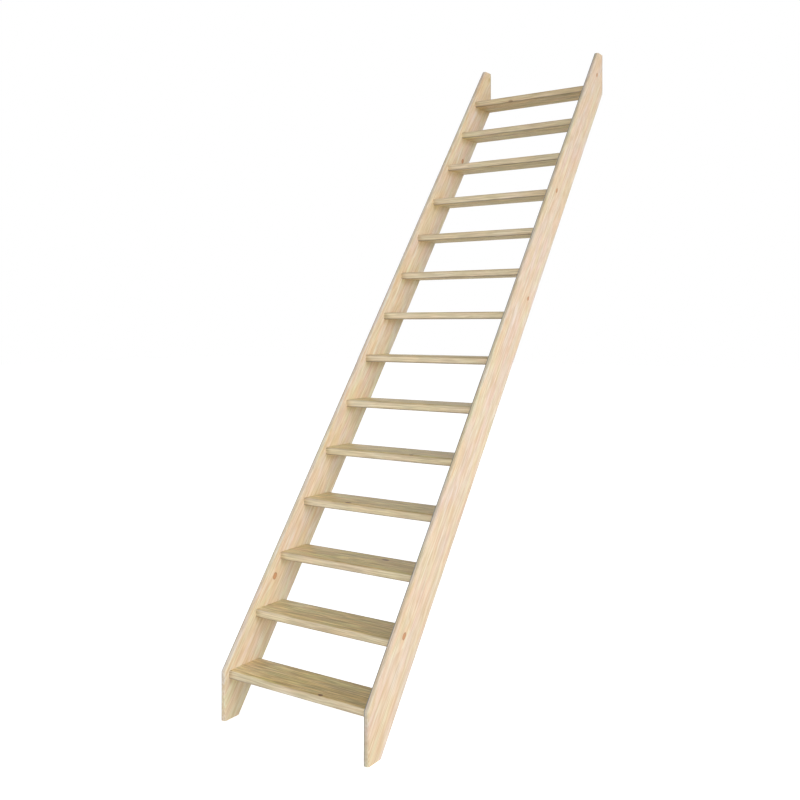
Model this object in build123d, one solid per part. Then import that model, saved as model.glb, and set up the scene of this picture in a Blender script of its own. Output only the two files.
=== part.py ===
from build123d import *
import os
from math import atan2, cos, sin

# A steep straight open stair: plank treads housed between two plank strings.
# Millimetres. +X runs across the stair, +Y in the direction of climb and +Z up.
# The origin is the centre of the left string's sole, on the finished floor.

# Climb
TREAD_COUNT = 14
RISE = 201.0
GOING = 152.0
FIRST_RISE = 190.0  # from the floor to the top of the lowest tread
LAST_RISE = 197.0  # from the top of the highest tread to the upper floor

# Strings, the two sloping side boards
STRING_THICK = 22.0
STRING_DEPTH = 181.0  # measured square to the slope
STRING_ROUNDING = 7.0  # radius along both long edges and up the foot's front cut
SOLE_LENGTH = 82.0  # level cut that stands on the floor
HEAD_LENGTH = 63.0  # level cut at the upper floor

# Treads
CLEAR_WIDTH = 660.0  # between the strings' inner faces
TREAD_DEPTH = 170.0
TREAD_THICK = 32.0
TREAD_SETBACK = 25.0  # from the strings' front edge back to the nose, at the tread's top
NOSE_RADIUS = 8.0
TREAD_ARRIS = 2.0  # radius of the eased rear edges

# Housings, the stopped trenches that hold the tread ends
HOUSING_DEPTH = 8.0
HOUSING_CLEARANCE = 0.2  # above, before, behind and beside the tread, which sits on the bottom

# Worked out from the sizes above
PITCH = atan2(RISE, GOING)
TOTAL_RISE = FIRST_RISE + (TREAD_COUNT - 1) * RISE + LAST_RISE
LEVEL_DEPTH = STRING_DEPTH / sin(PITCH)  # depth of a string along a level line
LEFT_INNER = STRING_THICK / 2
RIGHT_INNER = LEFT_INNER + CLEAR_WIDTH
MIDDLE = LEFT_INNER + CLEAR_WIDTH / 2
SOLE_FRONT = -SOLE_LENGTH / 2
SOLE_REAR = SOLE_LENGTH / 2


def rear_edge(z):
    """Where the strings' rear edge is at height z."""
    return SOLE_REAR + z * GOING / RISE


def front_edge(z):
    """Where the strings' front edge is at height z."""
    return rear_edge(z) - LEVEL_DEPTH


def tread_top(number):
    """Height of a tread's top, counted from 1 at the bottom."""
    return FIRST_RISE + (number - 1) * RISE


def tread_section(number, gap):
    """A tread's outline seen from the side, or with a gap the outline of its housing."""
    top = tread_top(number)
    nose = front_edge(top) + TREAD_SETBACK
    low = top - TREAD_THICK
    height = TREAD_THICK + gap
    depth = TREAD_DEPTH + 2 * gap
    outline = Pos(nose - gap, low) * Rectangle(depth, height, align=(Align.MIN, Align.MIN))
    by_depth = outline.vertices().group_by(Axis.X)
    outline = fillet(by_depth[-1], TREAD_ARRIS)
    noses = outline.vertices().group_by(Axis.X)[0]
    return fillet(noses, NOSE_RADIUS)


def across(section, start, length):
    """A side outline extruded along +X from start."""
    side = Plane(origin=(start, 0, 0), x_dir=(0, 1, 0), z_dir=(1, 0, 0))
    return extrude(side * section, length)


def tread(number):
    """One tread, with both ends let into the strings."""
    let_in = HOUSING_DEPTH - HOUSING_CLEARANCE
    length = CLEAR_WIDTH + 2 * let_in
    return across(tread_section(number, 0), LEFT_INNER - let_in, length)


def board():
    """The left string's planed board, running past both ends of the stair."""
    half_height = TOTAL_RISE / 2
    centre = (rear_edge(half_height) + front_edge(half_height)) / 2
    along = (0, cos(PITCH), sin(PITCH))
    square_to_slope = Plane(origin=(0, centre, half_height), x_dir=(1, 0, 0), z_dir=along)
    section = square_to_slope * RectangleRounded(STRING_THICK, STRING_DEPTH, STRING_ROUNDING)
    return extrude(section, TOTAL_RISE, both=True)


def left_string():
    """The board with its level and plumb cuts and its housings."""
    head_rear = front_edge(TOTAL_RISE) + HEAD_LENGTH
    run = head_rear - SOLE_FRONT
    plan = Pos(0, SOLE_FRONT) * Rectangle(STRING_THICK, run, align=(Align.CENTER, Align.MIN))
    foot_corners = plan.vertices().group_by(Axis.Y)[0]
    plan = fillet(foot_corners, STRING_ROUNDING)
    string = board() & extrude(plan, TOTAL_RISE)
    for number in range(1, TREAD_COUNT + 1):
        housing = tread_section(number, HOUSING_CLEARANCE)
        string -= across(housing, LEFT_INNER - HOUSING_DEPTH, HOUSING_DEPTH)
    return string


left = left_string()
parts = {
    "left_string": left,
    "right_string": mirror(left, about=Plane.YZ.offset(MIDDLE)),
}
for number in range(1, TREAD_COUNT + 1):
    parts[f"tread_{number:02d}"] = tread(number)

os.makedirs("parts", exist_ok=True)
for name, part in parts.items():
    export_step(part, f"parts/{name}.step")
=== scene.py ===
from math import atan2, cos, radians, sin

import bpy
from mathutils import Matrix, Vector


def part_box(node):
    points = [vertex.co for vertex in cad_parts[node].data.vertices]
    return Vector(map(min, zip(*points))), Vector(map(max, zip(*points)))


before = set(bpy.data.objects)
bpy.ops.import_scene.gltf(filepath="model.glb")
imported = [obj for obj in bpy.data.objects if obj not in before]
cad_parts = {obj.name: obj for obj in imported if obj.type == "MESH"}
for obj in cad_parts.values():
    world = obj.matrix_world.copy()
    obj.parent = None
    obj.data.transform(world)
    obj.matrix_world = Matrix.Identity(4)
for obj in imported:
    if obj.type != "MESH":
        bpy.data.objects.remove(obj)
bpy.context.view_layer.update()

# A steep straight open stair of bare softwood. Metres, in the frame's own axes.

TREADS = sorted(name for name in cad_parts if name.startswith("tread_"))
STRINGS = ("left_string", "right_string")


def corners(node):
    """A node's lowest and highest corners as vectors."""
    low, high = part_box(node)
    return Vector(low), Vector(high)


def middle(node):
    """The centre of a node's box."""
    low, high = corners(node)
    return (low + high) / 2


UP = (0.0, 0.0, 1.0)
WHITE = (1.0, 1.0, 1.0, 1.0)

# The slope, read from the lowest two treads
STEP = middle(TREADS[1]) - middle(TREADS[0])
PITCH = atan2(STEP.z, STEP.y)


class Nodes:
    """Short names for adding linked shader nodes to one node tree."""

    def __init__(self, tree):
        self.tree = tree
        tree.nodes.clear()

    def put(self, socket, value):
        """Links a socket, or sets a plain value."""
        if isinstance(value, bpy.types.NodeSocket):
            self.tree.links.new(value, socket)
        else:
            socket.default_value = value

    def add(self, kind, inputs=None, **settings):
        """Adds a node with its settings and inputs."""
        node = self.tree.nodes.new(kind)
        for name, value in settings.items():
            setattr(node, name, value)
        for name, value in (inputs or {}).items():
            self.put(node.inputs[name], value)
        return node

    def maths(self, operation, a, b=0.0, c=0.0):
        """A sum on up to three numbers."""
        return self.add("ShaderNodeMath", {0: a, 1: b, 2: c}, operation=operation).outputs[0]

    def vector(self, operation, a, b=(0.0, 0.0, 0.0)):
        """A sum on vectors."""
        node = self.add("ShaderNodeVectorMath", {0: a, 1: b}, operation=operation)
        return node.outputs["Value" if operation in ("DOT_PRODUCT", "LENGTH") else "Vector"]

    def mix(self, factor, a, b, blend="MIX"):
        """Two colours mixed by a factor."""
        inputs = {0: factor, 6: a, 7: b}
        return self.add("ShaderNodeMix", inputs, data_type="RGBA", blend_type=blend).outputs[2]

    def tinted(self, factor, colour, tint):
        """A colour multiplied by a tint, as far as the factor says."""
        return self.mix(factor, colour, self.mix(1.0, colour, tint, "MULTIPLY"))

    def grey(self, value):
        """A number as a grey colour."""
        return self.add("ShaderNodeCombineXYZ", {0: value, 1: value, 2: value}).outputs[0]

    def noise(self, vector, scale=1.0, detail=2.0, roughness=0.5):
        """Soft noise at a vector's place."""
        inputs = {"Vector": vector, "Scale": scale, "Detail": detail, "Roughness": roughness}
        return self.add("ShaderNodeTexNoise", inputs).outputs[0]

    def stretched(self, vector, scale, detail=2.0, roughness=0.5):
        """Noise with a scale of its own along each axis."""
        return self.noise(self.vector("MULTIPLY", vector, scale), 1.0, detail, roughness)

    def facing(self, way):
        """How far the surface is turned one way, as a cosine."""
        normal = self.add("ShaderNodeTexCoord").outputs["Normal"]
        return self.vector("DOT_PRODUCT", normal, way)

    def between(self, value, low, high):
        """A smooth step from 0 where value is low to 1 where it is high."""
        inputs = {0: value, 1: low, 2: high}
        return self.add("ShaderNodeMapRange", inputs, interpolation_type="SMOOTHSTEP").outputs[0]


def rgb(red, green, blue):
    """A linear colour from one as it looks on screen, 0 to 255."""
    def linear(value):
        value /= 255
        return value / 12.92 if value <= 0.04045 else ((value + 0.055) / 1.055) ** 2.4
    return (linear(red), linear(green), linear(blue), 1.0)


def board_coordinates(n, centre, along, across):
    """Object coordinates turned to the board: along the grain, across its width, through it."""
    place = n.add("ShaderNodeTexCoord").outputs["Object"]
    local = n.vector("SUBTRACT", place, centre)
    through = along.cross(across)
    parts = [n.vector("DOT_PRODUCT", local, axis) for axis in (along, across, through)]
    return n.add("ShaderNodeCombineXYZ", dict(enumerate(parts))).outputs[0]


KNOT_SLANT = 0.7  # below 1, a knot runs deeper into the board than it is wide
HALO_STRETCH = 0.4  # below 1, the halo runs further along the grain than the knot


def knot_field(n, board, knots):
    """How far a point is in a knot, on its rim and in its halo, and how far the grain bulges."""
    core, rim, halo, bulge = 0.0, 0.0, 0.0, 0.0
    for along, across, through, radius, stretch in knots:
        core_scale = (1 / stretch, 1.0, KNOT_SLANT)
        halo_scale = (HALO_STRETCH / stretch, 1.0, KNOT_SLANT)
        offset = n.vector("SUBTRACT", board, (along, across, through))
        ragged = n.noise(board, 0.45 / radius, 2.0)
        ragged = n.maths("MULTIPLY_ADD", ragged, 0.5, 0.75)
        near = n.vector("LENGTH", n.vector("MULTIPLY", offset, core_scale))
        near = n.maths("DIVIDE", n.maths("MULTIPLY", near, ragged), radius)
        far = n.vector("LENGTH", n.vector("MULTIPLY", offset, halo_scale))
        far = n.maths("DIVIDE", far, radius)
        core = n.maths("MAXIMUM", core, n.between(near, 1.0, 0.8))
        edge = n.maths("MULTIPLY", n.between(near, 1.25, 1.0), n.between(near, 0.7, 0.95))
        rim = n.maths("MAXIMUM", rim, edge)
        halo = n.maths("MAXIMUM", halo, n.between(far, 2.2, 0.7))
        bulge = n.maths("ADD", bulge, n.between(far, 3.4, 0.0))
    return core, rim, halo, bulge


# The lowest tread's underside at the nose, and how far the warm painted shade below each tread
# reaches
FIRST_NOSE, FIRST_UNDER = corners(TREADS[0])[0].yz
TREAD_REACH = corners(TREADS[0])[1].y - FIRST_NOSE
UNDER_SHADE_DEEP, UNDER_SHADE_FADED = 0.008, 0.040
UNDER_SHADE_FRONT = -0.006, 0.010  # behind the nose, where the shade starts and is full
UNDER_SHADE_REAR = TREAD_REACH + 0.010, TREAD_REACH - 0.010
UNDER_SHADE_INNER = 0.004, 0.010  # from the string's middle towards its inner face
UNDER_SHADE_TINT = (0.88, 0.86, 0.73, 1.0)


def painted_under_tread_shade(n, board, side):
    """On a string's inner face, how far a point is inside the painted shade just below a tread."""
    place = n.add("ShaderNodeTexCoord").outputs["Object"]
    forth, height = (n.vector("DOT_PRODUCT", place, axis) for axis in Matrix.Identity(3)[1:])
    steps = n.maths("DIVIDE", n.maths("SUBTRACT", height, FIRST_UNDER), STEP.z)
    below = n.maths("MULTIPLY", n.maths("SUBTRACT", n.maths("CEIL", steps), steps), STEP.z)
    nose = n.maths("MULTIPLY_ADD", n.maths("CEIL", steps), STEP.y, FIRST_NOSE)
    behind = n.maths("SUBTRACT", forth, nose)
    shade = n.between(below, UNDER_SHADE_FADED, UNDER_SHADE_DEEP)
    shade = n.maths("MULTIPLY", shade, n.between(behind, *UNDER_SHADE_FRONT))
    shade = n.maths("MULTIPLY", shade, n.between(behind, *UNDER_SHADE_REAR))
    through = n.vector("DOT_PRODUCT", board, (0.0, 0.0, side))
    return n.maths("MULTIPLY", shade, n.between(through, *UNDER_SHADE_INNER))


FIBRE_SCALE = (14.0, 620.0, 620.0)
HUE_SHIFT = 3.0, 7.0  # sets the hue noises apart from the streaks, and from each other

# Between which values of its noise one colour turns into the other
BROAD_TURN = 0.36, 0.64
VEIN_TURN = 0.54, 0.74
HUE_TURN = 0.38, 0.62

# Latewood darkens slowly through a ring and ends at once, as shares of the ring
LATE_START = 0.25, 0.85
LATE_END = 1.0, 0.93

HALO_AMOUNT = 0.45
RIM_AMOUNT = 0.7
FACE_TURN = 0.25, 0.85  # cosines between which a face starts to count as turned one way
RELIEF = {"Strength": 0.25, "Distance": 0.0006}


def softwood(name, centre, along, across, look):
    """Planed softwood: growth rings about a pith line, fibres, soft streaks and knots, with
    painted light and shade on some faces, arrises and strips.
    """
    material = bpy.data.materials.new(name)
    material.use_nodes = True
    n = Nodes(material.node_tree)
    board = board_coordinates(n, centre, along, across)
    seeded = n.vector("ADD", board, look["seed"])
    core, rim, halo, bulge = knot_field(n, board, look["knots"])

    # Rings: distance from the pith line, which wanders along the board
    wander = n.stretched(seeded, (1.1, 3.0, 3.0), 3.0)
    pith = n.vector("MULTIPLY", n.vector("SUBTRACT", board, (0.0, *look["pith"])), (0.0, 1.0, 1.0))
    ring = n.vector("LENGTH", pith)
    ring = n.maths("ADD", ring, n.maths("MULTIPLY", wander, look["wander"]))
    ring = n.maths("ADD", ring, n.maths("MULTIPLY", bulge, look["ring"] * 1.2))
    phase = n.maths("FRACT", n.maths("DIVIDE", ring, look["ring"]))
    late = n.maths("MULTIPLY", n.between(phase, *LATE_START), n.between(phase, *LATE_END))

    # Streaks and fibres run along the grain
    streak = n.between(n.stretched(seeded, look["streak_scale"], 3.0, 0.6), *BROAD_TURN)
    cloud = n.between(n.stretched(seeded, look["cloud_scale"]), *BROAD_TURN)
    vein = n.between(n.stretched(seeded, look["vein_scale"], 2.0, 0.6), *VEIN_TURN)
    fibre = n.stretched(seeded, FIBRE_SCALE, 2.0, 0.7)

    colour = n.mix(streak, look["pale"], look["warm"])
    colour = n.mix(n.maths("MULTIPLY", cloud, look["cloud_amount"]), colour, look["cloud"])
    colour = n.mix(n.maths("MULTIPLY", late, look["late_amount"]), colour, look["late"])
    colour = n.mix(n.maths("MULTIPLY", vein, look["vein_amount"]), colour, look["vein"])
    for number, (scale, low, high) in enumerate(look["hues"]):
        place = n.vector("ADD", seeded, (0.0, HUE_SHIFT[0], HUE_SHIFT[1] * number))
        tone = n.mix(n.between(n.stretched(place, scale), *HUE_TURN), low, high)
        colour = n.mix(1.0, colour, tone, "MULTIPLY")
    shade = n.maths("MULTIPLY_ADD", fibre, look["fibre_amount"], 1.0 - look["fibre_amount"] / 2)
    colour = n.mix(1.0, colour, n.grey(shade), "MULTIPLY")
    colour = n.mix(n.maths("MULTIPLY", halo, HALO_AMOUNT), colour, look["knot_halo"])
    colour = n.mix(core, colour, look["knot"])
    colour = n.mix(n.maths("MULTIPLY", rim, RIM_AMOUNT), colour, look["knot_rim"])

    # Faces of a board differ a little: those turned one way get a tint of painted light and shade,
    # and are calmer and rougher
    rough = n.maths("MULTIPLY_ADD", fibre, 0.10, look["rough"])
    for way, tint, rougher, calm in look["faces"]:
        turned = n.between(n.facing(way), *FACE_TURN)
        colour = n.mix(n.maths("MULTIPLY", turned, calm), colour, look["plain"])
        colour = n.tinted(turned, colour, tint)
        rough = n.maths("ADD", rough, n.maths("MULTIPLY", turned, rougher))

    # Painted shade on arrises turned away from the light, on the curve between two faces, and
    # painted light and shade in strips on the flat beside a sharp edge
    for way, beside, start, full, tint in look["curves"]:
        turned = n.facing(way)
        curve = n.maths("MULTIPLY", n.between(turned, start, full), n.between(turned, 0.999, 0.97))
        if beside:
            curve = n.maths("MULTIPLY", curve, n.between(n.facing(beside), -0.1, 0.05))
        colour = n.tinted(curve, colour, tint)
    for way, start, full, tint in look["strips"]:
        strip = n.between(n.vector("DOT_PRODUCT", board, way), start, full)
        colour = n.tinted(strip, colour, tint)
    # Painted light towards the left end of the treads' tops, painted shadow towards the right end
    for way, start, full, tint in look.get("top_strips", ()):
        strip = n.between(n.vector("DOT_PRODUCT", board, way), start, full)
        strip = n.maths("MULTIPLY", strip, n.between(n.facing(UP), 0.5, 0.9))
        colour = n.tinted(strip, colour, tint)
    # Painted shade: the highest tread is darker and warmer all over
    if "cast" in look:
        colour = n.mix(1.0, colour, look["cast"], "MULTIPLY")
    # Painted shade on a string's inner face just below each tread
    if "joint_side" in look:
        colour = n.tinted(painted_under_tread_shade(n, board, look["joint_side"]), colour, UNDER_SHADE_TINT)

    height = n.maths("MULTIPLY", late, -0.35)
    height = n.maths("ADD", height, n.maths("MULTIPLY", fibre, 0.6))
    height = n.maths("ADD", height, n.maths("MULTIPLY", core, 0.5))
    bump = n.add("ShaderNodeBump", dict(RELIEF, Height=height))
    shader = n.add("ShaderNodeBsdfPrincipled", {
        "Base Color": colour,
        "Roughness": rough,
        "Normal": bump.outputs[0],
    })
    n.add("ShaderNodeOutputMaterial", {"Surface": shader.outputs[0]})
    return material


def dress(node, material):
    """Gives a carried-over node one material on all its slots."""
    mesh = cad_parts[node].data
    mesh.materials.clear()
    mesh.materials.append(material)


STRING_LOOK = {
    "pale": rgb(240, 225, 196),
    "plain": rgb(234, 212, 180),
    "warm": rgb(233, 207, 173),
    "cloud": rgb(236, 213, 194),
    "cloud_amount": 0.7,
    "cloud_scale": (3.0, 26.0, 26.0),
    "late": rgb(222, 188, 148),
    "late_amount": 0.45,
    "vein": rgb(216, 180, 136),
    "vein_amount": 0.50,
    "vein_scale": (1.6, 110.0, 110.0),
    "fibre_amount": 0.16,
    "knot": rgb(206, 149, 103),
    "knot_rim": rgb(166, 106, 66),
    "knot_halo": rgb(236, 198, 157),
    "streak_scale": (2.4, 60.0, 60.0),
    "hues": (
        ((8.0, 25.0, 25.0), (1.02, 0.985, 0.98, 1.0), (0.98, 1.01, 1.01, 1.0)),
        ((6.0, 21.0, 21.0), (1.0, 0.995, 1.05, 1.0), (1.0, 1.0, 0.94, 1.0)),
        ((13.0, 115.0, 115.0), (0.94, 0.915, 0.86, 1.0), (1.05, 1.07, 1.12, 1.0)),
    ),
    "ring": 0.0052,
    "wander": 0.030,
    "rough": 0.45,
}
TREAD_LOOK = {
    "pale": rgb(232, 214, 152),
    "plain": rgb(207, 183, 120),
    "warm": rgb(208, 183, 120),
    "cloud": rgb(199, 183, 114),
    "cloud_amount": 0.5,
    "cloud_scale": (3.4, 22.0, 22.0),
    "late": rgb(175, 141, 85),
    "late_amount": 0.50,
    "vein": rgb(143, 112, 67),
    "vein_amount": 0.72,
    "vein_scale": (4.0, 150.0, 150.0),
    "fibre_amount": 0.24,
    "knot": rgb(112, 68, 16),
    "knot_rim": rgb(78, 45, 10),
    "knot_halo": rgb(193, 152, 93),
    "streak_scale": (3.2, 64.0, 64.0),
    "hues": (
        ((8.0, 30.0, 30.0), (1.03, 0.98, 0.97, 1.0), (0.97, 1.01, 1.0, 1.0)),
        ((7.0, 24.0, 24.0), (0.985, 0.985, 1.04, 1.0), (1.015, 1.015, 0.96, 1.0)),
        ((10.0, 180.0, 180.0), (0.79, 0.78, 0.74, 1.0), (1.25, 1.25, 1.29, 1.0)),
    ),
    "ring": 0.0060,
    "wander": 0.026,
    "rough": 0.37,
}

# Knots: place along, across and through the board from its middle, radius, stretch along the grain
RIGHT_KNOTS = (
    (-1.405, 0.024, 0.011, 0.0090, 1.5),
    (0.231, -0.042, 0.011, 0.0075, 1.3),
    (0.852, 0.025, 0.011, 0.0075, 1.5),
    (1.711, 0.020, 0.011, 0.0075, 1.4),
)
LEFT_KNOTS = (
    (-1.281, 0.035, 0.011, 0.010, 1.4),
    (1.211, -0.038, 0.011, 0.010, 1.3),
)
TREAD_KNOTS = {
    "tread_01": (0.114, -0.075, 0.016, 0.0065, 1.5),
    "tread_03": (0.112, 0.044, 0.016, 0.0085, 1.7),
    "tread_04": (-0.107, -0.066, 0.016, 0.0085, 1.6),
    "tread_05": (0.118, -0.076, 0.016, 0.0055, 1.8),
    "tread_14": (-0.108, -0.085, -0.013, 0.0060, 2.2),
}

# Faces: the way they are turned, a tint of painted light and shade over the board's colour, added
# roughness, and how far the grain is calmed to the look's plain colour
FRONT_WAY = (0.0, -sin(PITCH), cos(PITCH))
LEFT_FACE_SHADE_AND_FINISH = (
    ((1.0, 0.0, 0.0), (1.06, 1.09, 1.08, 1.0), 0.0, 0.0),
    (FRONT_WAY, (0.96, 1.05, 1.13, 1.0), 0.0, 0.0),
)
RIGHT_FACE_SHADE_AND_FINISH = (
    ((1.0, 0.0, 0.0), (0.89, 0.89, 0.89, 1.0), 0.0, 0.0),
    (FRONT_WAY, (0.92, 0.98, 1.02, 1.0), 0.0, 0.0),
)
TREAD_FACE_SHADE_AND_FINISH = (
    ((0.0, -1.0, 0.0), (1.17, 1.28, 2.10, 1.0), 0.05, 0.5),
    ((0.0, 0.0, -1.0), (1.12, 1.17, 1.54, 1.0), 0.20, 0.0),
)
# Strips on the treads' tops only: painted light, paler to the left end, and painted shadow of the
# right string, darker to the right
TOP_LIGHT_AND_SHADOW_STRIPS = (
    ((-1.0, 0.0, 0.0), 0.08, 0.31, (1.21, 1.31, 1.85, 1.0)),
    ((1.0, 0.0, 0.0), -0.05, 0.25, (0.88, 0.88, 0.86, 1.0)),
)

# Painted shade on arrises: the ways the two faces beside them are turned (None for any second
# face), how far the curve is turned to the first where the dark starts and is full, and a tint.
# Then strips of painted
# light and shade beside sharp edges: a direction on the board, where the strip starts and is full,
# and a tint
TREAD_ARRIS_SHADE = (
    ((0.0, 0.0, -1.0), (0.0, -1.0, 0.0), 0.20, 0.80, (0.58, 0.56, 0.53, 1.0)),
    ((0.0, 0.0, 1.0), (0.0, -1.0, 0.0), 0.0, 0.70, (0.86, 0.83, 0.78, 1.0)),
)
TREAD_SHADE_STRIPS = (((0.0, 1.0, 0.0), 0.073, 0.082, (0.68, 0.70, 0.76, 1.0)),)
# Painted shade over the whole of the highest tread
TOP_TREAD_SHADE = (0.90, 0.85, 0.78, 1.0)
REAR_ARRIS_SHADE = ((0.0, sin(PITCH), -cos(PITCH)), None, 0.05, 0.40, (0.62, 0.66, 0.66, 1.0))
LEFT_ARRIS_SHADE = (((-1.0, 0.0, 0.0), FRONT_WAY, 0.0, 0.35, (0.28, 0.37, 0.43, 1.0)), REAR_ARRIS_SHADE)
RIGHT_ARRIS_SHADE = (((-1.0, 0.0, 0.0), FRONT_WAY, -0.12, 0.33, (0.26, 0.34, 0.43, 1.0)), REAR_ARRIS_SHADE)
HEAD_SHADE_STRIP = ((cos(PITCH), -sin(PITCH), 0.0), 1.0844, 1.0914, (0.70, 0.77, 0.86, 1.0))
RIGHT_SHADING_STRIPS = (HEAD_SHADE_STRIP, ((0.0, -1.0, 0.0), 0.076, 0.088, (0.97, 1.01, 1.07, 1.0)))
LEFT_SHADING_STRIPS = (
    HEAD_SHADE_STRIP,
    ((0.0, 1.0, 0.0), 0.025, 0.080, (0.95, 0.94, 0.95, 1.0)),
    ((0.0, -1.0, 0.0), 0.025, 0.080, (0.93, 0.98, 1.01, 1.0)),
    ((1.0, 0.0, 0.0), 1.50, 1.72, (0.89, 0.85, 0.77, 1.0)),
)


STRING_PITH = (0.02, 0.075)  # the pith line's place across and through the board


def dress_strings():
    along = Vector((0.0, cos(PITCH), sin(PITCH)))
    across = Vector((0.0, -sin(PITCH), cos(PITCH)))
    looks = (
        dict(knots=LEFT_KNOTS, faces=LEFT_FACE_SHADE_AND_FINISH, curves=LEFT_ARRIS_SHADE, strips=LEFT_SHADING_STRIPS),
        dict(knots=RIGHT_KNOTS, faces=RIGHT_FACE_SHADE_AND_FINISH, curves=RIGHT_ARRIS_SHADE, strips=RIGHT_SHADING_STRIPS),
    )
    for number, (node, own) in enumerate(zip(STRINGS, looks)):
        look = dict(STRING_LOOK, seed=(3.7 * number, 0.9, 0.4), pith=STRING_PITH, **own)
        # The inner face of each string, which takes the painted shade below the treads
        look["joint_side"] = 1 - 2 * number
        dress(node, softwood(f"{node}_wood", middle(node), along, across, look))


def dress_treads():
    along, across = Vector((1.0, 0.0, 0.0)), Vector((0.0, 1.0, 0.0))
    for number, node in enumerate(TREADS):
        knots = [TREAD_KNOTS[node]] if node in TREAD_KNOTS else []
        pith = (0.05 - 0.017 * (number * 5 % 7), -0.07)  # each tread is sawn from another place
        seed = (1.31 * number, 0.37 * number, 2.0)
        look = dict(TREAD_LOOK, knots=knots, seed=seed, pith=pith, faces=TREAD_FACE_SHADE_AND_FINISH)
        look.update(curves=TREAD_ARRIS_SHADE, strips=TREAD_SHADE_STRIPS, top_strips=TOP_LIGHT_AND_SHADOW_STRIPS)
        if node == TREADS[-1]:
            look["cast"] = TOP_TREAD_SHADE
        dress(node, softwood(f"{node}_wood", middle(node), along, across, look))


STAIR = (0.34, 1.0)  # the middle of the stair in plan

# The photograph's view: a level camera that looks to the left of the direction of climb
CAMERA_PLACE = (2.5685, -2.6693, 1.5361)
CAMERA_HEADING = radians(33.556)
CAMERA_LENS = 41.86
CAMERA_RISE = -0.0935  # share of the frame that the view is shifted by, down


def add_camera():
    camera = bpy.data.cameras.new("camera")
    camera.lens = CAMERA_LENS
    camera.sensor_width = 36.0
    camera.shift_y = CAMERA_RISE
    holder = bpy.data.objects.new("camera", camera)
    holder.location = CAMERA_PLACE
    holder.rotation_euler = (radians(90), 0.0, CAMERA_HEADING)
    bpy.context.scene.collection.objects.link(holder)
    bpy.context.scene.camera = holder


FLOOR_SIZE = 60.0
FLOOR_GREY = (0.7, 0.7, 0.7, 1.0)
FLOOR_GLOW = 0.8
AMBIENT = 0.315
SIDE_LIGHT = 1.18
SIDE = (1.0, -0.1, 0.0)


def add_floor():
    """A pale floor that shows white where no shadow falls."""
    bpy.ops.mesh.primitive_plane_add(size=FLOOR_SIZE, location=(*STAIR, 0.0))
    floor = bpy.context.object
    floor.name = "floor"
    material = bpy.data.materials.new("floor")
    material.use_nodes = True
    n = Nodes(material.node_tree)
    rays = n.add("ShaderNodeLightPath")
    seen = n.maths("MAXIMUM", rays.outputs["Is Camera Ray"], rays.outputs["Is Glossy Ray"])
    seen = n.maths("MAXIMUM", seen, rays.outputs["Is Transmission Ray"])
    matt = n.add("ShaderNodeBsdfDiffuse", {"Color": FLOOR_GREY})
    strength = n.maths("MULTIPLY", seen, FLOOR_GLOW)
    glow = n.add("ShaderNodeEmission", {"Color": WHITE, "Strength": strength})
    both = n.add("ShaderNodeAddShader", {0: matt.outputs[0], 1: glow.outputs[0]})
    n.add("ShaderNodeOutputMaterial", {"Surface": both.outputs[0]})
    floor.data.materials.append(material)


def add_world():
    """Soft studio light, fuller from the right, seen as plain white."""
    world = bpy.data.worlds.new("studio")
    bpy.context.scene.world = world
    world.use_nodes = True
    n = Nodes(world.node_tree)
    rays = n.add("ShaderNodeLightPath")
    seen = n.maths("MAXIMUM", rays.outputs["Is Camera Ray"], rays.outputs["Is Glossy Ray"])
    seen = n.maths("MAXIMUM", seen, rays.outputs["Is Transmission Ray"])
    way = n.add("ShaderNodeTexCoord").outputs["Generated"]
    side = n.maths("MAXIMUM", n.vector("DOT_PRODUCT", way, SIDE), 0.0)
    side = n.maths("MULTIPLY", n.maths("MULTIPLY", side, side), SIDE_LIGHT)
    strength = n.maths("ADD", side, AMBIENT)
    light = n.add("ShaderNodeBackground", {"Color": WHITE, "Strength": strength})
    shown = n.add("ShaderNodeBackground", {"Color": WHITE, "Strength": 1.0})
    both = n.add("ShaderNodeMixShader", {0: seen, 1: light.outputs[0], 2: shown.outputs[0]})
    n.add("ShaderNodeOutputWorld", {"Surface": both.outputs[0]})


def add_lamp(name, place, target, size, power):
    """A square soft lamp that faces its target."""
    lamp = bpy.data.lights.new(name, "AREA")
    lamp.size = size
    lamp.energy = power
    holder = bpy.data.objects.new(name, lamp)
    holder.location = place
    facing = Vector(target) - Vector(place)
    holder.rotation_euler = facing.to_track_quat("-Z", "Y").to_euler()
    bpy.context.scene.collection.objects.link(holder)


def add_lamps():
    target = (*STAIR, 1.5)
    add_lamp("front_right", (3.4, -3.2, 1.6), target, 1.6, 32.5)
    add_lamp("right", (5.2, 0.2, 1.6), target, 2.0, 77.0)
    add_lamp("front_left", (-2.6, -3.0, 1.6), target, 1.6, 59.0)


dress_strings()
dress_treads()
add_camera()
add_floor()
add_world()
add_lamps()
bpy.context.scene.view_settings.view_transform = "Standard"
